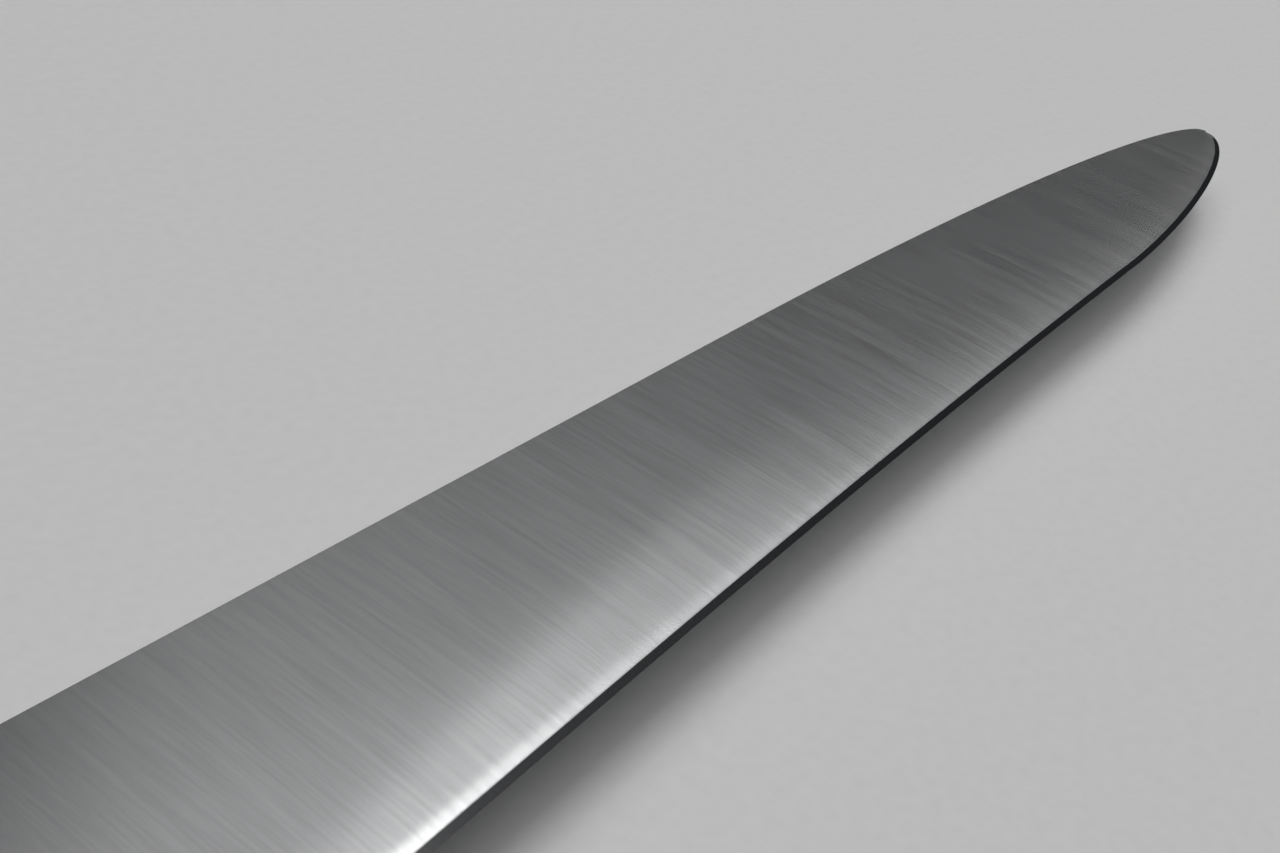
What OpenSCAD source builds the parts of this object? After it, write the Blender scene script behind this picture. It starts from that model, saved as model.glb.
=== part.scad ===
// Leather skiving knife: a slender full-tang blade with a riveted wooden handle.
// +X points to the tip, +Y to the spine, +Z up from the surface the knife lies on.
// The origin is on the lower cheek of the handle, at the middle of the grip.

/* [Blade] */
// Blade from the front of the bolster to the tip
blade_len = 210; // [190:1:240]
// Width at the heel, from spine to cutting edge
heel_w = 29.2; // [27:0.1:32]
// Width where the straight edge turns into the belly
belly_w = 20.6; // [18:0.1:23]
// Length of the rounded belly, back from the tip
belly_len = 47.5; // [35:0.5:65]
// How far the cutting edge bows inwards between heel and belly
edge_bow = 0.9; // [0:0.1:1.2]
// Length over which the spine falls towards the tip
spine_fall_len = 104; // [80:1:130]
// How far the tip lies below the straight spine
tip_drop = 8.9; // [7:0.1:11]
// Thickness of the steel at the spine and the tang
blade_t = 2.2; // [1.8:0.1:2.6]
// Thickness just behind the sharpened bevel
edge_t = 0.5; // [0.3:0.05:0.7]
// Width of the sharpened bevel
bevel_w = 0.7; // [0.5:0.05:1]
// How much of the thickness is lost between heel and tip, besides what the width takes
taper = 0.5; // [0.2:0.05:0.6]
// Share of the width that is ground convex at the heel, from the edge side
grind_share_heel = 0.6; // [0.4:0.05:0.8]
// Share of the width that is ground convex at the tip, from the edge side
grind_share_tip = 0.38; // [0.3:0.02:0.6]
// How sharply the convex grind gathers towards the edge
grind_power = 2.75; // [2:0.25:3.5]
// Unsharpened length between bolster and heel
ricasso_len = 11; // [9:0.5:14]

/* [Handle] */
// Handle from the front of the bolster to the butt
handle_len = 118; // [112:1:124]
// Distance from the middle of the handle to its spine side, at the bolster
front_up = 13; // [12.5:0.1:13.5]
// Distance from the middle of the handle to its edge side, at the bolster
front_down = 11.5; // [11:0.1:12]
// Thickness of the handle from cheek to cheek
handle_t = 18.6; // [17:0.1:20]
// How far the rounding of the sides reaches in over the cheek
round_in = 6; // [4:0.5:6.5]
// How far the rounding of the bolster's front reaches back over the cheek
front_in = 2.5; // [1:0.1:3]
// Length of the bolsters
bolster_len = 13; // [12:0.5:14]
// Thickness of each fibre liner
liner_t = 0.8; // [0.5:0.1:1]

/* [Fasteners] */
// Diameter of a rivet's head
rivet_head_d = 8; // [7:0.1:8.5]
// Thickness of a rivet's head
rivet_head_t = 2.4; // [2:0.1:2.8]
// Outer diameter of a rivet's socket
rivet_socket_d = 4.8; // [4.4:0.1:5]
// Diameter of a rivet's pin
rivet_pin_d = 3.2; // [2.8:0.1:3.4]
// Distance from one rivet to the next
rivet_pitch = 30; // [29:0.5:31]
// Distance of the front rivet from the front of the bolster
rivet_front = 22; // [21:0.5:23]
// Diameter of a bolster pin
bolster_pin_d = 3; // [2.5:0.1:3.2]
// Outer diameter of the lanyard tube
lanyard_d = 6.4; // [6:0.1:7]
// Diameter of the lanyard tube's bore
lanyard_bore_d = 4.8; // [4:0.1:5]
// Distance of the lanyard tube from the front of the bolster
lanyard_at = 104; // [103:0.5:105]

/* [Hidden] */
$fn = 64;

// Clearance on the radius between a fastener and its hole
fit = 0.05;
// Small overlap that makes cuts run clear through a face
cut = 1;
mid_z = handle_t / 2;
half_t = blade_t / 2;
front_x = handle_len / 2;
spine_y = front_up;
rivet_x = [for (i = [0:2]) front_x - rivet_front - i * rivet_pitch];
lanyard_x = front_x - lanyard_at;
bolster_back_x = front_x - bolster_len;
// The two bolster pins stand side by side in the flat of the bolster's cheek
bolster_pin_x = bolster_back_x + 4;
bolster_pin_y = [4.2, -3];

// ---- outline of the handle and the tang ----

// Keys of the spine side and of the edge side: [distance from the bolster's front, distance from the middle]
up_keys = [[0, front_up], [58, 13.6], [104, 11.2], [handle_len, 11]];
down_keys = [[0, front_down], [20, 10.7], [58, 13.2], [86, 12], [108, 14.6], [handle_len, 14.4]];
// The butt is rounded over this length, about this height
butt_len = 15;
butt_y = -1.8;
// The rounding of the butt is a superellipse with this power
butt_power = 2.4;

// Value at u of a smooth curve through the keys, level at each key
function eased(keys, u, i = 0) =
    u <= keys[i + 1][0] || i == len(keys) - 2
        ? let (t = (u - keys[i][0]) / (keys[i + 1][0] - keys[i][0]))
          keys[i][1] + (keys[i + 1][1] - keys[i][1]) * (1 - cos(180 * t)) / 2
        : eased(keys, u, i + 1);

// How much of the full height is left at u, as the butt rounds off
function butt_share(u) =
    let (t = max(0, (u - (handle_len - butt_len)) / butt_len))
    pow(max(0, 1 - pow(t, butt_power)), 1 / butt_power);

function handle_top(u) = butt_y + (eased(up_keys, u) - butt_y) * butt_share(u);
function handle_bottom(u) = butt_y + (-eased(down_keys, u) - butt_y) * butt_share(u);

// Distances from the bolster's front, closer together where the butt curves; the first gap is
// wider than the rounding, so the front can be moved back without folding over
handle_steps = concat([0],
                      [for (i = [2:1:25]) i * (handle_len - butt_len) / 26],
                      [for (a = [0:7.5:82.5]) handle_len - butt_len + butt_len * sin(a)]);
// The handle's outline, counter-clockwise from the front of the edge side
handle_outline = concat([for (i = [len(handle_steps) - 1:-1:0])
                            [front_x - handle_steps[i], handle_bottom(handle_steps[i])]],
                        [for (u = handle_steps) [front_x - u, handle_top(u)]],
                        [[front_x - handle_len, butt_y]]);

// ---- outline and section of the blade, at x from the bolster's front ----

straight_slope = (heel_w - belly_w) / (blade_len - belly_len - ricasso_len);

// Distance of the spine line from the straight spine
function spine_fall(x) =
    let (t = max(0, (x - (blade_len - spine_fall_len)) / spine_fall_len))
    tip_drop * (1 - sqrt(max(0, 1 - t * t)));

// Distance of the unrounded cutting edge from the straight spine
function straight_edge(x) =
    let (s = max(0, min(1, (x - ricasso_len) / (blade_len - belly_len - ricasso_len))))
    heel_w - straight_slope * (x - ricasso_len) - edge_bow * 4 * s * (1 - s);

// Distance of the cutting edge from the straight spine, with its belly
function edge_fall(x) =
    let (t = max(0, (x - (blade_len - belly_len)) / belly_len))
    tip_drop + (straight_edge(x) - tip_drop) * sqrt(max(0, 1 - t * t));

// Lower side of the ricasso: level with the handle, then a round choil down to the heel
function ricasso_fall(x) =
    let (low = spine_y + front_down, t = max(0, min(1, x / ricasso_len)))
    low + (heel_w - low) * (1 - sqrt(max(0, 1 - pow(t, 4))));

function low_fall(x) = x < ricasso_len ? ricasso_fall(x) : edge_fall(x);

// From 0 on the flat ricasso to 1 on the ground blade
function ground(x) =
    let (t = max(0, min(1, (x - 1) / (ricasso_len - 1))))
    t * t * (3 - 2 * t);

// Half thickness at distance c behind the bevel, where the blade is w wide
function grind(c, w, x) =
    let (s = x / blade_len,
         ground_w = w * (grind_share_heel + (grind_share_tip - grind_share_heel) * s))
    edge_t / 2 + (half_t - edge_t / 2) * w / heel_w * (1 - taper * s)
        * (1 - pow(max(0, 1 - c / ground_w), grind_power));

function half_thickness(c, w, x) = x < 0 ? half_t : half_t + (grind(c, w, x) - half_t) * ground(x);

// Rows across the blade, as shares of the width behind the bevel
blade_rows = [0, 0.05, 0.12, 0.2, 0.3, 0.42, 0.6, 0.8, 1];
row_count = len(blade_rows);

// One closed ring round the blade: edge, upper face to the spine, lower face back
function blade_ring(x, top, bottom) =
    let (w = top - bottom,
         b = min(w / 3, 0.02 + (bevel_w - 0.02) * ground(x)),
         upper = [for (v = blade_rows) [x + front_x, bottom + b + (w - b) * v,
                                        half_thickness((w - b) * v, w, x)]])
    concat([[x + front_x, bottom, 0]], upper,
           [for (j = [row_count - 1:-1:0]) [upper[j].x, upper[j].y, -upper[j].z]]);

tang_rings = [for (i = [len(handle_steps) - 1:-1:1])
                 blade_ring(-handle_steps[i], handle_top(handle_steps[i]), handle_bottom(handle_steps[i]))];
// Distances from the bolster's front: ricasso, straight edge, belly, closer where it curves
blade_steps = concat([for (a = [0:9:81]) ricasso_len * sin(a)],
                     [for (i = [0:1:27]) ricasso_len + i * (blade_len - belly_len - ricasso_len) / 28],
                     [for (a = [0:3.75:86.25]) blade_len - belly_len + belly_len * sin(a)]);
blade_rings = [for (x = blade_steps) blade_ring(x, spine_y - spine_fall(x), spine_y - low_fall(x))];

// Closed solid through rings of n points each, ending in a single tip point
module loft_to_tip(rings, tip) {
    n = len(rings[0]);
    last = (len(rings) - 1) * n;
    points = concat([for (r = rings) each r], [tip]);
    sides = [for (k = [0:len(rings) - 2], j = [0:n - 1], h = [0, 1])
                let (a = k * n + j, b = k * n + (j + 1) % n)
                h == 0 ? [a, b, a + n] : [b, b + n, a + n]];
    tip_faces = [for (j = [0:n - 1]) [last + j, last + (j + 1) % n, len(points) - 1]];
    polyhedron(points, concat([[for (j = [n - 1:-1:0]) j]], sides, tip_faces), convexity = 6);
}

// ---- the handle's outer shape ----

function unit(v) = v / norm(v);

// The outline moved inwards by d, with mitred corners
function inset(p, d) =
    let (n = len(p))
    [for (i = [0:n - 1])
        let (u = unit(p[i] - p[(i + n - 1) % n]),
             v = unit(p[(i + 1) % n] - p[i]),
             m = unit([-u.y - v.y, u.x + v.x]))
        p[i] + m * d / (m * [-u.y, u.x])];

// Upper half of the handle from x0 to x1 and from height z0 to the flat cheek, with rounded sides.
// The skin runs a little past both flats, so that the box cuts each of them as one plane.
module handle_half(x0, x1, z0) {
    round_up = mid_z - 2.4;
    rows = concat([[0, z0 - cut]],
                  [for (a = [0:15:75]) [round_in * (1 - cos(a)), mid_z - round_up * (1 - sin(a))]],
                  [[round_in, mid_z + 0.15]]);
    n = len(handle_outline);
    points = [for (r = rows, i = [0:n - 1])
                 let (q = inset(handle_outline, r[0])[i])
                 [handle_outline[i].x < front_x ? q.x : front_x - r[0] * front_in / round_in, q.y, r[1]]];
    sides = [for (k = [0:len(rows) - 2], j = [0:n - 1], h = [0, 1])
                let (a = k * n + j, b = k * n + (j + 1) % n)
                h == 0 ? [a, b, a + n] : [b, b + n, a + n]];
    intersection() {
        polyhedron(points, concat([[for (j = [0:n - 1]) j]], sides,
                                  [[for (j = [n - 1:-1:0]) (len(rows) - 1) * n + j]]), convexity = 6);
        translate([x0, -handle_len / 2, z0]) cube([x1 - x0, handle_len, mid_z - z0]);
    }
}

// Everything below is placed on the upper side and mirrored for the lower side
module side(upper) {
    translate([0, 0, mid_z]) mirror([0, 0, upper ? 0 : 1]) children();
}

module through_hole(x, y, d) {
    translate([x, y, -handle_t]) cylinder(h = 2 * handle_t, d = d);
}

// ---- sub-parts ----

module blade() {
    color("silver")
        translate([0, 0, mid_z])
            difference() {
                loft_to_tip(concat(tang_rings, blade_rings), [front_x + blade_len, spine_y - tip_drop, 0]);
                for (x = rivet_x) through_hole(x, 0, rivet_socket_d + 2 * fit);
                for (y = bolster_pin_y) through_hole(bolster_pin_x, y, bolster_pin_d + 2 * fit);
                through_hole(lanyard_x, butt_y, lanyard_d + 2 * fit);
            }
}

module bolster(upper) {
    color("lightsteelblue")
        side(upper)
            difference() {
                handle_half(bolster_back_x, handle_len, half_t);
                for (y = bolster_pin_y) through_hole(bolster_pin_x, y, bolster_pin_d + 2 * fit);
            }
}

module bolster_pin(y) {
    color("gainsboro")
        translate([bolster_pin_x, y, 0])
            cylinder(h = handle_t, d = bolster_pin_d);
}

module liner(upper) {
    color("black")
        side(upper)
            difference() {
                intersection() {
                    translate([0, 0, half_t]) linear_extrude(liner_t) polygon(handle_outline);
                    translate([-handle_len, -handle_len / 2, 0])
                        cube([handle_len + bolster_back_x, handle_len, handle_t]);
                }
                for (x = rivet_x) through_hole(x, 0, rivet_socket_d + 2 * fit);
                through_hole(lanyard_x, butt_y, lanyard_d + 2 * fit);
            }
}

module scale_half(upper) {
    color("saddlebrown")
        side(upper)
            difference() {
                handle_half(-handle_len, bolster_back_x, half_t + liner_t);
                for (x = rivet_x) {
                    through_hole(x, 0, rivet_socket_d + 2 * fit);
                    translate([x, 0, mid_z - rivet_head_t]) cylinder(h = handle_t, d = rivet_head_d + 2 * fit);
                }
                through_hole(lanyard_x, butt_y, lanyard_d + 2 * fit);
            }
}

// Upper half of a rivet: a head with a drilled socket that takes the pin
module rivet_socket(x) {
    socket_len = handle_t - 2 * rivet_head_t - 0.3;
    color("gold")
        side(true)
            translate([x, 0, mid_z - rivet_head_t])
                difference() {
                    union() {
                        cylinder(h = rivet_head_t, d = rivet_head_d);
                        translate([0, 0, -socket_len]) cylinder(h = socket_len, d = rivet_socket_d);
                    }
                    translate([0, 0, -socket_len - cut])
                        cylinder(h = socket_len + cut, d = rivet_pin_d + 2 * fit);
                }
}

// Lower half of a rivet: a head with the pin that is pressed into the socket
module rivet_pin(x) {
    pin_len = handle_t - 2 * rivet_head_t - 0.6;
    color("goldenrod")
        side(false)
            translate([x, 0, mid_z - rivet_head_t]) {
                cylinder(h = rivet_head_t, d = rivet_head_d);
                translate([0, 0, -pin_len]) cylinder(h = pin_len, d = rivet_pin_d);
            }
}

module lanyard_tube() {
    color("gold")
        translate([lanyard_x, butt_y, 0])
            difference() {
                cylinder(h = handle_t, d = lanyard_d);
                translate([0, 0, -cut]) cylinder(h = handle_t + 2 * cut, d = lanyard_bore_d);
            }
}

blade();
bolster(true);  // bolster_upper
bolster(false);  // bolster_lower
bolster_pin(bolster_pin_y[0]);  // bolster_pin_spine
bolster_pin(bolster_pin_y[1]);  // bolster_pin_edge
liner(true);  // liner_upper
liner(false);  // liner_lower
scale_half(true);  // scale_upper
scale_half(false);  // scale_lower
rivet_socket(rivet_x[0]);  // rivet_socket_front
rivet_socket(rivet_x[1]);  // rivet_socket_middle
rivet_socket(rivet_x[2]);  // rivet_socket_rear
rivet_pin(rivet_x[0]);  // rivet_pin_front
rivet_pin(rivet_x[1]);  // rivet_pin_middle
rivet_pin(rivet_x[2]);  // rivet_pin_rear
lanyard_tube();
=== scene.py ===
"""Looks of the skiving knife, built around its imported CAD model.

Lengths in this file are in millimetres, and become metres where a mesh is made.
u is a distance back from the front of the bolster, and x a distance ahead of it.
"""

import math

import bmesh
import bpy
import numpy as np
from mathutils import Matrix, Vector


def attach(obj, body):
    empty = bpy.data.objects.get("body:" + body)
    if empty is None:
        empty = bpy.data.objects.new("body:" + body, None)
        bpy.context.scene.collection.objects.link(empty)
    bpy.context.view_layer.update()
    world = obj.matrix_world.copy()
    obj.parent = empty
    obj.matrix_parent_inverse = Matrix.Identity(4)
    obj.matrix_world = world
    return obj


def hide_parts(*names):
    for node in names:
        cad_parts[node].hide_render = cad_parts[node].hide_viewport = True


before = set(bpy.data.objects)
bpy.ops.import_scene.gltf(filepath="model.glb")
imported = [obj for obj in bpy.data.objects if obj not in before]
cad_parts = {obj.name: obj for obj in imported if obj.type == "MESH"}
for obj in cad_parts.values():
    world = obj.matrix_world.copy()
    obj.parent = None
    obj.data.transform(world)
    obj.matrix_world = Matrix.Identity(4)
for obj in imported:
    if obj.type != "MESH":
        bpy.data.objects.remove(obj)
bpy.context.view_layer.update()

MM = 0.001
CREASE = math.radians(20)
TURNED_STEPS = 96
DRILL_STEPS = 64

# ---- dimensions of the knife, the same as the CAD model's ----

BLADE_LEN = 210.0
HEEL_W = 29.2
BELLY_W = 20.6
BELLY_LEN = 47.5
EDGE_BOW = 0.9
SPINE_FALL_LEN = 104.0
TIP_DROP = 8.9
BLADE_T = 2.2
EDGE_T = 0.5
BEVEL_W = 0.7
BEVEL_W_AT_TANG = 0.02
TAPER = 0.5
GRIND_SHARE_HEEL = 0.6
GRIND_SHARE_TIP = 0.38
GRIND_POWER = 2.75
RICASSO_LEN = 11.0
# Just behind the bevel the face rolls off a little more, over this width and by this much
BAND_W = 1.35
BAND_DROP = 0.05
# How far the blade's spine and the tang's sides are rounded off at their corners
SPINE_EASE = 0.05
TANG_EASE = 0.04

HANDLE_LEN = 118.0
HANDLE_T = 18.6
FRONT_UP = 13.0
FRONT_DOWN = 11.5
ROUND_IN = 6.0
FRONT_IN = 2.5
ROUND_UP = HANDLE_T / 2 - 2.4
BOLSTER_LEN = 13.0
BOLSTER_CORNER = 0.6
LINER_T = 0.8
UP_KEYS = [(0, FRONT_UP), (58, 13.6), (104, 11.2), (HANDLE_LEN, 11)]
DOWN_KEYS = [(0, FRONT_DOWN), (20, 10.7), (58, 13.2), (86, 12), (108, 14.6), (HANDLE_LEN, 14.4)]
BUTT_LEN = 15.0
BUTT_Y = -1.8
BUTT_POWER = 2.4

RIVET_HEAD_R = 4.0
RIVET_HEAD_T = 2.4
RIVET_SOCKET_R = 2.4
RIVET_PIN_R = 1.6
RIVET_FRONT = 22.0
RIVET_PITCH = 30.0
BOLSTER_PIN_R = 1.5
LANYARD_R = 3.2
LANYARD_BORE_R = 2.4
LANYARD_AT = 104.0
FIT = 0.05
SOCKET_GAP = 0.3
PIN_GAP = 0.6

# How far the rims of the turned pieces are eased
RIVET_RIM = 0.14
RIVET_PIN_RIM = 0.3
BOLSTER_PIN_RIM = 0.06
TUBE_RIM = 0.2
TUBE_MOUTH_RIM = 0.35
# How far inside the corner a rounding passes at its middle, as a share of its size
ROUNDING = 0.29
RIM_ROUNDING = 0.3

MID_Z = HANDLE_T / 2
HALF_T = BLADE_T / 2
FRONT_X = HANDLE_LEN / 2
SPINE_Y = FRONT_UP
BOLSTER_BACK_X = FRONT_X - BOLSTER_LEN
RIVET_X = [FRONT_X - RIVET_FRONT - i * RIVET_PITCH for i in range(3)]
BOLSTER_PINS = [(BOLSTER_BACK_X + 4, 4.2), (BOLSTER_BACK_X + 4, -3.0)]
LANYARD = (FRONT_X - LANYARD_AT, BUTT_Y)


# ---- meshes ----


def new_piece(name, node, points, faces, materials, face_material=None):
    """A mesh piece from points in mm, which stands for a CAD node and rides on the knife."""
    mesh = bpy.data.meshes.new(name)
    mesh.from_pydata((np.asarray(points) * MM).tolist(), [], faces)
    for material in materials:
        mesh.materials.append(material)
    if face_material is not None:
        mesh.polygons.foreach_set("material_index", face_material)
    piece = bpy.data.objects.new(name, mesh)
    bpy.context.scene.collection.objects.link(piece)
    tidy_normals(mesh)
    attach(piece, "root")
    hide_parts(node)
    return piece


def tidy_normals(mesh):
    """Faces outwards, and smooth shading that breaks at crisp edges."""
    b = bmesh.new()
    b.from_mesh(mesh)
    bmesh.ops.recalc_face_normals(b, faces=b.faces)
    b.to_mesh(mesh)
    b.free()
    mesh.polygons.foreach_set("use_smooth", [True] * len(mesh.polygons))
    mesh.set_sharp_from_angle(angle=CREASE)


def skin(rings):
    """Points and faces of a closed skin through rings of equal length, flat at both ends."""
    count = len(rings[0])
    points = np.concatenate(rings)
    faces = [list(range(count))[::-1]]
    for k in range(len(rings) - 1):
        for j in range(count):
            a = k * count + j
            b = k * count + (j + 1) % count
            faces.append([a, b, b + count, a + count])
    last = (len(rings) - 1) * count
    faces.append([last + j for j in range(count)])
    return points, faces


def lathe(profile, x, y, closed=False, segments=TURNED_STEPS):
    """Points and faces of a profile [(radius, z), ...] turned about a vertical axis at x, y.

    A closed profile is a loop that stays off the axis; an open one starts and ends on it."""
    turns = np.linspace(0, 2 * math.pi, segments, endpoint=False)
    rims = profile if closed else profile[1:-1]
    points = [(x + r * math.cos(t), y + r * math.sin(t), z) for r, z in rims for t in turns]
    faces = []
    for k in range(len(rims) if closed else len(rims) - 1):
        for j in range(segments):
            a = k * segments
            b = (k + 1) % len(rims) * segments
            i = (j + 1) % segments
            faces.append([a + j, a + i, b + i, b + j])
    if not closed:
        faces.append(list(range(segments))[::-1])
        faces.append([(len(rims) - 1) * segments + j for j in range(segments)])
    return points, faces


def drill(piece, profiles):
    """Cuts turned profiles out of a piece; profiles is [(profile, x, y), ...]."""
    points = []
    faces = []
    for profile, x, y in profiles:
        more, more_faces = lathe(profile, x, y, segments=DRILL_STEPS)
        faces += [[i + len(points) for i in f] for f in more_faces]
        points += more
    mesh = bpy.data.meshes.new("drill")
    mesh.from_pydata((np.asarray(points) * MM).tolist(), [], faces)
    tidy_normals(mesh)
    cutter = bpy.data.objects.new("drill", mesh)
    bpy.context.scene.collection.objects.link(cutter)
    step = piece.modifiers.new("drill", "BOOLEAN")
    step.operation = "DIFFERENCE"
    step.solver = "EXACT"
    step.object = cutter
    bpy.context.view_layer.update()
    shape = piece.evaluated_get(bpy.context.evaluated_depsgraph_get())
    cut = bpy.data.meshes.new_from_object(shape)
    piece.modifiers.clear()
    old = piece.data
    piece.data = cut
    cut.name = old.name
    bpy.data.meshes.remove(old)
    bpy.data.objects.remove(cutter)
    bpy.data.meshes.remove(mesh)
    marked = sharp_flags(cut)
    cut.set_sharp_from_angle(angle=CREASE)
    mark_sharp(cut, marked)


def sharp_flags(mesh):
    """Which edges of a mesh are marked as sharp."""
    flags = np.zeros(len(mesh.edges), bool)
    sharp = mesh.attributes.get("sharp_edge")
    if sharp is not None:
        sharp.data.foreach_get("value", flags)
    return flags


def mark_sharp(mesh, flags):
    """Marks more edges of a mesh as sharp."""
    together = sharp_flags(mesh) | flags
    sharp = mesh.attributes.get("sharp_edge")
    if sharp is None:
        sharp = mesh.attributes.new("sharp_edge", "BOOLEAN", "EDGE")
    sharp.data.foreach_set("value", together)


def hole(radius):
    """Profile of a drill that goes right through the knife."""
    return [(0, -HANDLE_T), (radius, -HANDLE_T), (radius, HANDLE_T * 2), (0, HANDLE_T * 2)]


def flipped(points):
    """The same points, turned over about the middle plane of the knife."""
    out = np.array(points, float)
    out[:, 2] = HANDLE_T - out[:, 2]
    return out


# ---- the handle's outline and its rounded sides ----


def eased(keys, u):
    """A smooth curve through the keys, level at each of them."""
    u = np.asarray(u, float)
    value = np.full(u.shape, float(keys[-1][1]))
    for (u0, v0), (u1, v1) in reversed(list(zip(keys[:-1], keys[1:]))):
        t = np.clip((u - u0) / (u1 - u0), 0, 1)
        value = np.where(u <= u1, v0 + (v1 - v0) * (1 - np.cos(math.pi * t)) / 2, value)
    return value


def butt_share(u):
    """How much of the handle's width is left at u, which falls to 0 round the butt."""
    t = np.clip((np.asarray(u, float) - (HANDLE_LEN - BUTT_LEN)) / BUTT_LEN, 0, 1)
    return np.maximum(0, 1 - t**BUTT_POWER) ** (1 / BUTT_POWER)


def handle_top(u):
    return BUTT_Y + (eased(UP_KEYS, u) - BUTT_Y) * butt_share(u)


def handle_bottom(u):
    return BUTT_Y + (-eased(DOWN_KEYS, u) - BUTT_Y) * butt_share(u)


def side_curve(height):
    """Samples of one side: u, y and the inward normal."""
    turn = np.linspace(0, math.pi / 2, 600)[1:]
    u = np.concatenate([np.linspace(0, HANDLE_LEN - BUTT_LEN, 1400),
                        HANDLE_LEN - BUTT_LEN + BUTT_LEN * np.sin(turn)])
    y = height(u)
    run = np.stack([-np.gradient(u), np.gradient(y)], 1)
    run /= np.linalg.norm(run, axis=1)[:, None]
    inward = -1 if height is handle_top else 1
    normal = np.stack([-run[:, 1], run[:, 0]], 1)
    normal *= inward * np.sign(normal[:1, 1])
    return u, y, normal


TOP_SIDE = side_curve(handle_top)
LOW_SIDE = side_curve(handle_bottom)


def inset_side(side, u, d):
    """Points of a side at distances u, moved inwards by d."""
    su, sy, normal = side
    nx = np.interp(u, su, normal[:, 0])
    ny = np.interp(u, su, normal[:, 1])
    return np.stack([FRONT_X - u + nx * d, np.interp(u, su, sy) + ny * d], 1)


def side_rows(z0):
    """[inset, height above the middle plane, share of the rounding] of each row of a cheek's skin."""
    angles = np.radians(np.linspace(0, 90, 25))
    rows = [(0.0, z0, 0.0)]
    for a in angles:
        share = 1 - math.cos(a)
        rows.append((ROUND_IN * share, MID_Z - ROUND_UP * (1 - math.sin(a)), share))
    return rows


def bolster_ring(inset, share):
    """One level of the bolster, anticlockwise, with its front corners eased."""
    ease = BOLSTER_CORNER
    back = FRONT_IN * share
    u = np.linspace(back + ease, BOLSTER_LEN, 16)
    top = inset_side(TOP_SIDE, u, inset)
    low = inset_side(LOW_SIDE, u, inset)
    for side in (top, low):
        side[-1, 0] = BOLSTER_BACK_X
        side[0, 0] = FRONT_X - back - ease
    turn = np.radians(np.linspace(0, 90, 8))[1:]
    low_corner = low[0] + np.stack([ease * np.sin(turn), ease * (1 - np.cos(turn))], 1)
    top_corner = top[0] + np.stack([ease * np.sin(turn), -ease * (1 - np.cos(turn))], 1)
    return np.concatenate([low[::-1], low_corner, top_corner[::-1], top])


def grip_ring(inset):
    """One level of the handle behind the bolster, anticlockwise from the spine side."""
    turn = np.linspace(0, math.pi / 2, 48)[1:]
    u = np.concatenate([np.linspace(BOLSTER_LEN, HANDLE_LEN - BUTT_LEN, 130),
                        HANDLE_LEN - BUTT_LEN + BUTT_LEN * np.sin(turn)])
    top = inset_side(TOP_SIDE, u, inset)
    low = inset_side(LOW_SIDE, u, inset)
    for side in (top, low):
        side[0, 0] = BOLSTER_BACK_X
        side[-1, 0] = FRONT_X - HANDLE_LEN + inset
        side[-1, 1] = BUTT_Y
    return np.concatenate([top, low[-2::-1]])


def level(ring, z):
    return np.column_stack([ring, np.full(len(ring), MID_Z + z)])


def half_skin(ring, z0, upper):
    """Skin of one half of the handle from height z0 above the middle plane up to its cheek."""
    points, faces = skin([level(ring(inset, share), z) for inset, z, share in side_rows(z0)])
    return (points, faces) if upper else (flipped(points), faces)


# ---- the blade ----


def spine_fall(x):
    """Distance of the spine from a straight line, which it leaves towards the tip."""
    t = np.clip((x - (BLADE_LEN - SPINE_FALL_LEN)) / SPINE_FALL_LEN, 0, 1)
    return TIP_DROP * (1 - np.sqrt(1 - t * t))


def edge_fall(x):
    """Distance of the cutting edge from the straight spine."""
    run = BLADE_LEN - BELLY_LEN - RICASSO_LEN
    s = np.clip((x - RICASSO_LEN) / run, 0, 1)
    straight = HEEL_W - (HEEL_W - BELLY_W) / run * (x - RICASSO_LEN) - EDGE_BOW * 4 * s * (1 - s)
    t = np.clip((x - (BLADE_LEN - BELLY_LEN)) / BELLY_LEN, 0, 1)
    return TIP_DROP + (straight - TIP_DROP) * np.sqrt(1 - t * t)


def ricasso_fall(x):
    """Distance of the choil's edge from the straight spine."""
    low = SPINE_Y + FRONT_DOWN
    t = np.clip(x / RICASSO_LEN, 0, 1)
    return low + (HEEL_W - low) * (1 - np.sqrt(1 - t**4))


def ground(x):
    """From 0 on the flat ricasso to 1 on the ground blade."""
    t = np.clip((x - 1) / (RICASSO_LEN - 1), 0, 1)
    return t * t * (3 - 2 * t)


def grind(c, w, x):
    """Half thickness at distance c behind the bevel, where the blade is w wide."""
    s = x / BLADE_LEN
    ground_w = w * (GRIND_SHARE_HEEL + (GRIND_SHARE_TIP - GRIND_SHARE_HEEL) * s)
    body = (HALF_T - EDGE_T / 2) * w / HEEL_W * (1 - TAPER * s)
    roll = BAND_DROP * np.clip(1 - c / BAND_W, 0, 1) ** 2
    return EDGE_T / 2 + body * (1 - np.clip(1 - c / ground_w, 0, 1) ** GRIND_POWER) - roll


def edge_line():
    """The cutting edge from heel to tip as points [x, distance from the straight spine]."""
    turn = np.linspace(0, math.pi / 2, 900)
    x = np.concatenate([np.linspace(RICASSO_LEN, BLADE_LEN - BELLY_LEN, 700)[:-1],
                        BLADE_LEN - BELLY_LEN + BELLY_LEN * np.sin(turn)])
    return np.stack([x, edge_fall(x)], 1)


def contour(line, d):
    """The edge line moved into the blade by d."""
    run = np.gradient(line, axis=0)
    run /= np.linalg.norm(run, axis=1)[:, None]
    return line + d * np.stack([run[:, 1], -run[:, 0]], 1)


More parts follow.
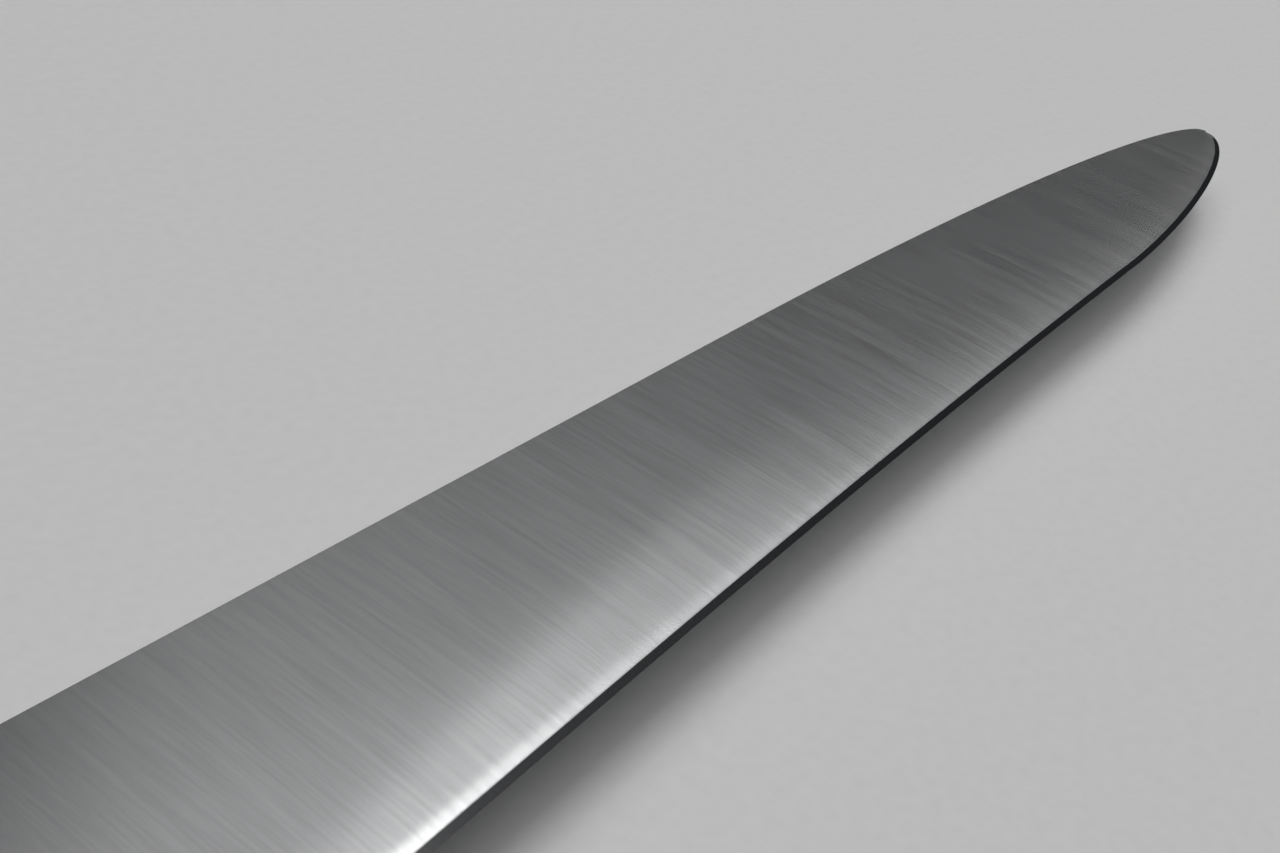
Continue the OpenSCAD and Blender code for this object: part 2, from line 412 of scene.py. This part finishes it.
def distance_to(line, points):
    """Distance of each point from a line given by close points."""
    out = np.empty(len(points))
    a = line[:-1]
    ab = line[1:] - a
    length = np.maximum((ab**2).sum(1), 1e-12)
    for start in range(0, len(points), 500):
        p = points[start:start + 500, None]
        t = np.clip(((p - a) * ab).sum(2) / length, 0, 1)
        out[start:start + 500] = np.sqrt(((p - a - ab * t[:, :, None]) ** 2).sum(2).min(1))
    return out


# Rows of points on the bevel, as shares of its width, and behind it, as distances from the arris
BEVEL_ROWS = [0.0, 0.25, 0.5, 0.75, 1.0]
FACE_ROWS = [0.06, 0.2, 0.4, 0.65, 0.9, 1.2, 1.5, 1.9, 2.4, 3.0, 3.7, 4.5, 5.5, 6.5, 8.0]
# The rows that follow the edge stop at this share of the width, and these are spread over the rest
EDGE_ROWS_SHARE = 0.75
EDGE_ROWS_POWER = 0.8
SPREAD_ROWS = 15
ARRIS = len(BEVEL_ROWS) - 1


def blade_stations():
    """Distances ahead of the bolster's front, closer together where the outline curves."""
    turn = np.linspace(0, math.pi / 2, 60)[:-1]
    butt = -(HANDLE_LEN - BUTT_LEN + BUTT_LEN * np.sin(turn[:0:-1]))
    tang = np.linspace(-(HANDLE_LEN - BUTT_LEN), 0, 110)
    ricasso = RICASSO_LEN * np.sin(np.linspace(0, math.pi / 2, 36))[1:]
    straight = np.linspace(RICASSO_LEN, BLADE_LEN - BELLY_LEN, 150)[1:]
    belly = BLADE_LEN - BELLY_LEN + BELLY_LEN * np.sin(np.linspace(0, math.pi / 2, 150))[1:-1]
    return np.concatenate([butt, tang, ricasso, straight, belly])


def blade_skin():
    """Rows of points on the upper face of the blade and its tang, with the spine's y and rounding.

    x is one value for each station, y and z one for each station and row."""
    x = blade_stations()
    on_tang = x <= 0
    low_fall = np.where(x < RICASSO_LEN, ricasso_fall(x), edge_fall(x))
    top = np.where(on_tang, handle_top(-x), SPINE_Y - spine_fall(x))
    low = np.where(on_tang, handle_bottom(-x), SPINE_Y - low_fall)
    width = top - low
    bevel = np.minimum(width / 3, BEVEL_W_AT_TANG + (BEVEL_W - BEVEL_W_AT_TANG) * ground(x))
    ease = np.where(on_tang, TANG_EASE, SPINE_EASE) * np.minimum(1, width / 2)
    line = edge_line()
    ahead = x > RICASSO_LEN
    heights = []
    behind = [0.0] * len(BEVEL_ROWS) + FACE_ROWS
    for k, c in enumerate(behind):
        d = bevel * BEVEL_ROWS[k] if k <= ARRIS else bevel + c
        moved = contour(line, BEVEL_W * BEVEL_ROWS[k] if k <= ARRIS else BEVEL_W + c)
        order = np.argsort(moved[:, 0])
        at = SPINE_Y - np.interp(x, moved[order, 0], moved[order, 1], right=-1e6)
        rise = np.where(ahead, at - low, d)
        share = EDGE_ROWS_SHARE * (k / len(behind)) ** EDGE_ROWS_POWER
        heights.append(np.clip(rise, 0, (width - ease) * share))
    start = heights[-1]
    rest = width - ease - start
    for k in range(1, SPREAD_ROWS + 1):
        heights.append(start + rest * k / SPREAD_ROWS)
    y = low[:, None] + np.stack(heights, 1)
    flat = np.stack([np.repeat(x, y.shape[1]), (SPINE_Y - y).ravel()], 1)
    distance = distance_to(line, flat).reshape(y.shape)
    distance = np.where(ahead[:, None], distance, y - low[:, None])
    c = np.maximum(0, distance - bevel[:, None])
    columns = x[:, None]
    share = np.clip(distance / bevel[:, None], 0, 1)
    face = grind(c, width[:, None], np.maximum(columns, 0)) * share
    z = np.where(share < 1, face, HALF_T + (face - HALF_T) * ground(columns))
    arris_z = z[:, ARRIS + 1, None]
    return x, y, np.where(share < 1, arris_z * share, z), top, ease


def blade_mesh(satin, polished):
    """The blade and its tang as one piece, with a polished bevel and crisp lines at arris and spine."""
    x, y, z, top, ease = blade_skin()
    rings = []
    for i in range(len(x)):
        rim = z[i, -1]
        corner = min(ease[i], rim * 0.6)
        upper = [(x[i], y[i, k], z[i, k]) for k in range(y.shape[1])]
        upper.append((x[i], top[i] - corner * ROUNDING, rim - corner * ROUNDING))
        upper.append((x[i], top[i], rim - corner))
        lower = [(px, py, -pz) for px, py, pz in upper[:0:-1]]
        rings.append(np.array(upper + lower) + np.array([FRONT_X, 0, MID_Z]))
    points, faces = skin(rings)
    count = len(rings[0])
    tip = len(points)
    points = np.vstack([points, [FRONT_X + BLADE_LEN, SPINE_Y - TIP_DROP, MID_Z]])
    last = (len(rings) - 1) * count
    faces.pop()
    faces += [[last + j, last + (j + 1) % count, tip] for j in range(count)]
    heel = np.searchsorted(x, RICASSO_LEN)
    material = [0]
    for k in range(len(rings) - 1):
        for j in range(count):
            material.append(1 if k >= heel and (j < ARRIS or j >= count - ARRIS) else 0)
    material += [1 if j < ARRIS or j >= count - ARRIS else 0 for j in range(count)]
    piece = new_piece("blade_steel", "blade", points, faces, [satin, polished], material)
    spine = y.shape[1] - 1
    crisp = [ARRIS, count - ARRIS, spine, count - spine]
    ring_of = np.arange(len(points)) % count
    ends = np.zeros(len(piece.data.edges) * 2, np.int64)
    piece.data.edges.foreach_get("vertices", ends)
    ends = ends.reshape(-1, 2)
    along = (ring_of[ends[:, 0]] == ring_of[ends[:, 1]]) & np.isin(ring_of[ends[:, 0]], crisp)
    ahead = points[ends[:, 0], 0] > FRONT_X + RICASSO_LEN
    mark_sharp(piece.data, along & ahead)
    return piece


# ---- materials ----


class Nodes:
    """Short calls to build one material's nodes."""

    def __init__(self, name):
        self.material = bpy.data.materials.new(name)
        self.material.use_nodes = True
        self.tree = self.material.node_tree
        self.shader = self.tree.nodes["Principled BSDF"]
        self.place = self.tree.nodes.new("ShaderNodeTexCoord").outputs["Object"]

    def put(self, kind, inputs=None, **settings):
        """A new node, with its inputs set or linked."""
        node = self.tree.nodes.new(kind)
        for key, value in settings.items():
            setattr(node, key, value)
        for key, value in (inputs or {}).items():
            self.join(value, node.inputs[key])
        return node

    def join(self, value, socket):
        if isinstance(value, bpy.types.NodeSocket):
            self.tree.links.new(value, socket)
        else:
            socket.default_value = value

    def scaled(self, scale, turn=(0, 0, 0)):
        """Object coordinates times a scale for each axis."""
        return self.put("ShaderNodeMapping", {"Vector": self.place, "Scale": scale,
                                              "Rotation": turn}).outputs[0]

    def noise(self, vector, detail=3.0, roughness=0.5):
        return self.put("ShaderNodeTexNoise", {"Vector": vector, "Scale": 1.0, "Detail": detail,
                                               "Roughness": roughness}).outputs[0]

    def between(self, value, low, high, out_low, out_high):
        """value from low..high, clamped and stretched to out_low..out_high."""
        return self.put("ShaderNodeMapRange", {"Value": value, "From Min": low, "From Max": high,
                                               "To Min": out_low, "To Max": out_high}).outputs[0]

    def ramp(self, value, stops):
        """A colour for each value, from stops [(value, colour), ...]."""
        node = self.put("ShaderNodeValToRGB", {"Fac": value})
        while len(node.color_ramp.elements) < len(stops):
            node.color_ramp.elements.new(0.5)
        for element, (at, colour) in zip(node.color_ramp.elements, stops):
            element.position = at
            element.color = (*colour, 1)
        return node.outputs[0]

    def sum(self, a, b, weight):
        """a plus weight times b."""
        return self.put("ShaderNodeMath", {0: b, 1: weight, 2: a}, operation="MULTIPLY_ADD").outputs[0]

    def mixed(self, fac, a, b):
        """Colour a where fac is 0 and colour b where it is 1."""
        node = self.put("ShaderNodeMix", data_type="RGBA", blend_type="MIX")
        for key, value in ((0, fac), (6, a), (7, b)):
            self.join(value if isinstance(value, (float, bpy.types.NodeSocket)) else (*value, 1),
                      node.inputs[key])
        return node.outputs[2]

    def bump(self, height, distance):
        """Bump whose height of 1 stands for distance in metres."""
        return self.put("ShaderNodeBump", {"Height": height, "Distance": distance,
                                           "Strength": 1.0}).outputs[0]

    def finish(self, **sockets):
        """Sets or links the shader's own sockets, and gives the material."""
        names = {"colour": "Base Color", "metallic": "Metallic", "roughness": "Roughness", "normal": "Normal",
                 "anisotropic": "Anisotropic", "tangent": "Tangent", "coat": "Coat Weight",
                 "specular": "Specular IOR Level", "coat_roughness": "Coat Roughness"}
        for key, value in sockets.items():
            self.join(value, self.shader.inputs[names[key]])
        return self.material


def brushed(name, colour, dark, roughness, across, anisotropic, groove, streak_scale):
    """Metal with fine lines along one axis: across=True draws them along Y, else along X.

    groove is the lines' depth in metres. streak_scale is how fast the pattern changes, per metre:
    along a line, from line to line, and from one group of lines to the next."""
    n = Nodes(name)
    long, fine, coarse = streak_scale
    if across:
        lines = n.scaled((fine, long, long))
        bands = n.scaled((coarse, long * 0.5, long * 0.5), (0, 0, 0.03))
        spread = (1, 0, 0)
    else:
        lines = n.scaled((long, fine, fine))
        bands = n.scaled((long * 0.5, coarse, coarse), (0, 0, 0.02))
        spread = (0, 1, 0)
    hair = n.noise(lines, detail=1.5, roughness=0.6)
    band = n.noise(bands, detail=2.0, roughness=0.6)
    both = n.sum(hair, band, 0.8)
    tone = n.between(both, 0.6, 1.2, 0.0, 1.0)
    base = n.mixed(tone, dark, colour)
    rough = n.between(band, 0.3, 0.7, roughness * 0.97, roughness * 1.03)
    vector = n.put("ShaderNodeCombineXYZ", {0: spread[0], 1: spread[1], 2: spread[2]}).outputs[0]
    return n.finish(colour=base, metallic=1.0, roughness=rough, anisotropic=anisotropic, tangent=vector,
                    normal=n.bump(both, groove))


def hardwood():
    """Dark oiled hardwood with its grain along the handle."""
    n = Nodes("oiled_hardwood")
    warp = n.noise(n.scaled((14, 60, 60)), detail=2.0)
    rings = n.sum(n.noise(n.scaled((7, 210, 150), (0.2, 0, 0.03)), detail=3.0, roughness=0.55), warp, 0.35)
    figure = n.ramp(n.between(rings, 0.35, 0.95, 0, 1),
                    [(0.0, (0.030, 0.012, 0.007)), (0.35, (0.085, 0.034, 0.016)),
                     (0.6, (0.16, 0.068, 0.030)), (1.0, (0.25, 0.118, 0.055))])
    fibre = n.noise(n.scaled((90, 2600, 2600)), detail=3.0, roughness=0.7)
    pores = n.between(n.noise(n.scaled((170, 3400, 3400), (0, 0, 0.01)), detail=1.0), 0.60, 0.70, 0, 1)
    fibred = n.mixed(n.between(fibre, 0.3, 0.7, 0.0, 0.35), figure, (0.35, 0.19, 0.10))
    colour = n.mixed(n.between(pores, 0, 1, 0.0, 0.75), fibred, (0.012, 0.006, 0.004))
    rough = n.between(fibre, 0.3, 0.75, 0.36, 0.52)
    height = n.sum(n.between(fibre, 0, 1, 0, 0.25), pores, -1.0)
    return n.finish(colour=colour, roughness=rough, specular=0.45, coat=0.12, coat_roughness=0.3,
                    normal=n.bump(height, 0.00005))


def brass():
    n = Nodes("satin_brass")
    lines = n.noise(n.scaled((120, 5200, 5200)), detail=4.0, roughness=0.7)
    stain = n.noise(n.scaled((260, 260, 260)), detail=4.0, roughness=0.6)
    toned = n.mixed(n.between(stain, 0.42, 0.72, 0.0, 0.55), (0.80, 0.60, 0.29), (0.42, 0.27, 0.11))
    colour = n.mixed(n.between(lines, 0.3, 0.7, 0.0, 0.25), toned, (0.93, 0.76, 0.45))
    rough = n.sum(n.between(stain, 0.3, 0.8, 0.22, 0.4), lines, 0.08)
    tangent = n.put("ShaderNodeCombineXYZ", {0: 0.0, 1: 1.0, 2: 0.0}).outputs[0]
    return n.finish(colour=colour, metallic=1.0, roughness=rough, anisotropic=0.5, tangent=tangent,
                    normal=n.bump(lines, 0.000012))


def fibre_sheet():
    n = Nodes("black_fibre")
    fleck = n.noise(n.scaled((900, 2600, 2600)), detail=4.0, roughness=0.7)
    colour = n.ramp(fleck, [(0.3, (0.010, 0.010, 0.011)), (0.75, (0.045, 0.044, 0.045))])
    return n.finish(colour=colour, roughness=n.between(fleck, 0.3, 0.7, 0.55, 0.72), specular=0.3,
                    normal=n.bump(fleck, 0.00003))


def pale_floor():
    n = Nodes("pale_floor")
    grain = n.noise(n.scaled((700, 700, 700)), detail=3.0)
    colour = n.ramp(grain, [(0.2, (0.79, 0.79, 0.785)), (0.8, (0.83, 0.83, 0.825))])
    return n.finish(colour=colour, roughness=0.75, specular=0.25)


satin_steel = brushed("satin_steel", (0.69, 0.695, 0.70), (0.59, 0.595, 0.60), 0.25, True, 0.8, 0.0000020,
                      (130.0, 2700.0, 800.0))
polished_steel = brushed("polished_edge", (0.56, 0.565, 0.57), (0.54, 0.545, 0.55), 0.13, False, 0.3,
                         0.0000002, (60.0, 1800.0, 600.0))
bolster_steel = brushed("bolster_steel", (0.66, 0.655, 0.65), (0.50, 0.495, 0.49), 0.3, False, 0.6, 0.0000025,
                        (70.0, 4200.0, 700.0))
pin_steel = brushed("pin_steel", (0.78, 0.77, 0.75), (0.66, 0.65, 0.64), 0.24, True, 0.3, 0.0000010,
                    (70.0, 4200.0, 700.0))
wood = hardwood()
brass_metal = brass()
fibre = fibre_sheet()

# ---- pieces ----

blade_piece = blade_mesh(satin_steel, polished_steel)
drill(blade_piece, [(hole(RIVET_SOCKET_R + FIT), px, 0) for px in RIVET_X]
      + [(hole(BOLSTER_PIN_R + FIT), px, py) for px, py in BOLSTER_PINS]
      + [(hole(LANYARD_R + FIT), *LANYARD)])

for upper in (True, False):
    cheek = "upper" if upper else "lower"
    points, faces = half_skin(bolster_ring, HALF_T, upper)
    bolster = new_piece("bolster_" + cheek + "_steel", "bolster_" + cheek, points, faces,
                        [bolster_steel])
    drill(bolster, [(hole(BOLSTER_PIN_R + FIT), px, py) for px, py in BOLSTER_PINS])

    points, faces = half_skin(lambda inset, share: grip_ring(inset), HALF_T + LINER_T, upper)
    scale = new_piece("scale_" + cheek + "_wood", "scale_" + cheek, points, faces, [wood])
    seat = MID_Z + (MID_Z - RIVET_HEAD_T) * (1 if upper else -1)
    inner_end = -HANDLE_T if upper else HANDLE_T * 2
    outer_end = HANDLE_T * 2 if upper else -HANDLE_T
    recess = [(0, inner_end), (RIVET_SOCKET_R + FIT, inner_end), (RIVET_SOCKET_R + FIT, seat),
              (RIVET_HEAD_R + FIT, seat), (RIVET_HEAD_R + FIT, outer_end), (0, outer_end)]
    drill(scale, [(recess, px, 0) for px in RIVET_X] + [(hole(LANYARD_R + FIT), *LANYARD)])

    outline = grip_ring(0.0)
    points, faces = skin([level(outline, HALF_T), level(outline, HALF_T + LINER_T)])
    liner = new_piece("liner_" + cheek + "_fibre", "liner_" + cheek,
                      points if upper else flipped(points), faces, [fibre])
    drill(liner, [(hole(RIVET_SOCKET_R + FIT), px, 0) for px in RIVET_X]
          + [(hole(LANYARD_R + FIT), *LANYARD)])


def rim(radius, z, ease, down=1):
    """Three profile points that ease the rim of a flat end at height z; down=-1 for a lower end."""
    inside = ease * RIM_ROUNDING
    return [(radius, z - ease * down), (radius - inside, z - inside * down), (radius - ease, z)]


socket_len = HANDLE_T - 2 * RIVET_HEAD_T - SOCKET_GAP
pin_len = HANDLE_T - 2 * RIVET_HEAD_T - PIN_GAP
head_z = HANDLE_T - RIVET_HEAD_T
for place, px in zip(("front", "middle", "rear"), RIVET_X):
    bore_r = RIVET_PIN_R + FIT
    socket = [(0, head_z), (bore_r, head_z), (bore_r, head_z - socket_len),
              (RIVET_SOCKET_R, head_z - socket_len), (RIVET_SOCKET_R, head_z), (RIVET_HEAD_R, head_z)]
    socket += rim(RIVET_HEAD_R, HANDLE_T, RIVET_RIM) + [(0, HANDLE_T)]
    points, faces = lathe(socket, px, 0)
    new_piece("rivet_socket_" + place + "_brass", "rivet_socket_" + place, points, faces,
              [brass_metal])
    pin = [(0, 0)] + rim(RIVET_HEAD_R, 0, RIVET_RIM, -1)[::-1]
    pin += [(RIVET_HEAD_R, RIVET_HEAD_T), (RIVET_PIN_R, RIVET_HEAD_T)]
    pin += rim(RIVET_PIN_R, RIVET_HEAD_T + pin_len, RIVET_PIN_RIM) + [(0, RIVET_HEAD_T + pin_len)]
    points, faces = lathe(pin, px, 0)
    new_piece("rivet_pin_" + place + "_brass", "rivet_pin_" + place, points, faces,
              [brass_metal])

for place, (px, py) in zip(("spine", "edge"), BOLSTER_PINS):
    profile = [(0, 0)] + rim(BOLSTER_PIN_R, 0, BOLSTER_PIN_RIM, -1)[::-1]
    profile += rim(BOLSTER_PIN_R, HANDLE_T, BOLSTER_PIN_RIM) + [(0, HANDLE_T)]
    points, faces = lathe(profile, px, py)
    new_piece("bolster_pin_" + place + "_steel", "bolster_pin_" + place, points, faces,
              [pin_steel])

outer = rim(LANYARD_R, 0, TUBE_RIM, -1)[::-1] + rim(LANYARD_R, HANDLE_T, TUBE_RIM)
mouths = rim(LANYARD_BORE_R, HANDLE_T, TUBE_MOUTH_RIM)[::-1] + rim(LANYARD_BORE_R, 0, TUBE_MOUTH_RIM, -1)
inner = [(2 * LANYARD_BORE_R - r, z) for r, z in mouths]
points, faces = lathe(outer + inner, *LANYARD, closed=True)
new_piece("lanyard_tube_brass", "lanyard_tube", points, faces, [brass_metal])

# ---- floor, light and camera ----

FLOOR_HALF = 20.0
floor_mesh = bpy.data.meshes.new("floor")
floor_corners = [(-FLOOR_HALF, -FLOOR_HALF, 0), (FLOOR_HALF, -FLOOR_HALF, 0),
                 (FLOOR_HALF, FLOOR_HALF, 0), (-FLOOR_HALF, FLOOR_HALF, 0)]
floor_mesh.from_pydata(floor_corners, [], [(0, 1, 2, 3)])
floor_mesh.materials.append(pale_floor())
floor = bpy.data.objects.new("floor", floor_mesh)
bpy.context.scene.collection.objects.link(floor)


LIGHT_AIM = Vector((0.15, 0, MID_Z * MM))
LAMP_DISTANCE = 1.4
LAMP_SIZE = 0.5
OVERHEAD_DISTANCE = 9.0
OVERHEAD_SIZE = 8.4


def soft_light(name, azimuth, elevation, power, distance=LAMP_DISTANCE, size=LAMP_SIZE):
    """A square area light that faces the blade, from a direction given from +X towards +Y and
    above the floor. Distance and size are in metres, and power is in watts."""
    a = math.radians(azimuth)
    e = math.radians(elevation)
    away = Vector((math.cos(a) * math.cos(e), math.sin(a) * math.cos(e), math.sin(e)))
    data = bpy.data.lights.new(name, "AREA")
    data.shape = "SQUARE"
    data.size = size
    data.energy = power
    light = bpy.data.objects.new(name, data)
    bpy.context.scene.collection.objects.link(light)
    light.location = LIGHT_AIM + away * distance
    light.rotation_euler = away.to_track_quat("Z", "Y").to_euler()


soft_light("overhead", -164, 67, 400.0, OVERHEAD_DISTANCE, OVERHEAD_SIZE)
soft_light("ahead_high", 6, 73, 3.9)
soft_light("ahead_low", 18, 50, 0.5)
soft_light("side_high", 46, 56, 0.36)
soft_light("side_low", 42, 42, 0.18)
soft_light("side_far", 64, 44, 0.1)

world = bpy.data.worlds.new("studio")
world.use_nodes = True
background = world.node_tree.nodes["Background"]
background.inputs["Color"].default_value = (0.9, 0.95, 1.0, 1)
background.inputs["Strength"].default_value = 0.025
bpy.context.scene.world = world
bpy.context.scene.view_settings.view_transform = "Standard"

CAMERA_AZIMUTH = -57.4
CAMERA_ELEVATION = 33.0
CAMERA_ROLL = 10.7
CAMERA_DISTANCE = 164.9
CAMERA_AIM = Vector((145.0, 8.67, MID_Z))
CAMERA_LENS = 50
SENSOR_WIDTH = 36

turn_z = math.radians(CAMERA_AZIMUTH)
lift = math.radians(CAMERA_ELEVATION)
roll = math.radians(CAMERA_ROLL)
back = Vector((math.sin(turn_z) * math.cos(lift), -math.cos(turn_z) * math.cos(lift), math.sin(lift)))
level_right = Vector((0, 0, 1)).cross(back).normalized()
level_up = back.cross(level_right)
camera_right = level_right * math.cos(roll) + level_up * math.sin(roll)
camera_up = back.cross(camera_right)
camera_data = bpy.data.cameras.new("camera")
camera_data.lens = CAMERA_LENS
camera_data.sensor_width = SENSOR_WIDTH
camera_data.clip_start = 0.001
camera_data.clip_end = 100
camera = bpy.data.objects.new("camera", camera_data)
bpy.context.scene.collection.objects.link(camera)
turned = Matrix((camera_right, camera_up, back)).transposed().to_4x4()
camera.matrix_world = Matrix.Translation((CAMERA_AIM + back * CAMERA_DISTANCE) * MM) @ turned
bpy.context.scene.camera = camera
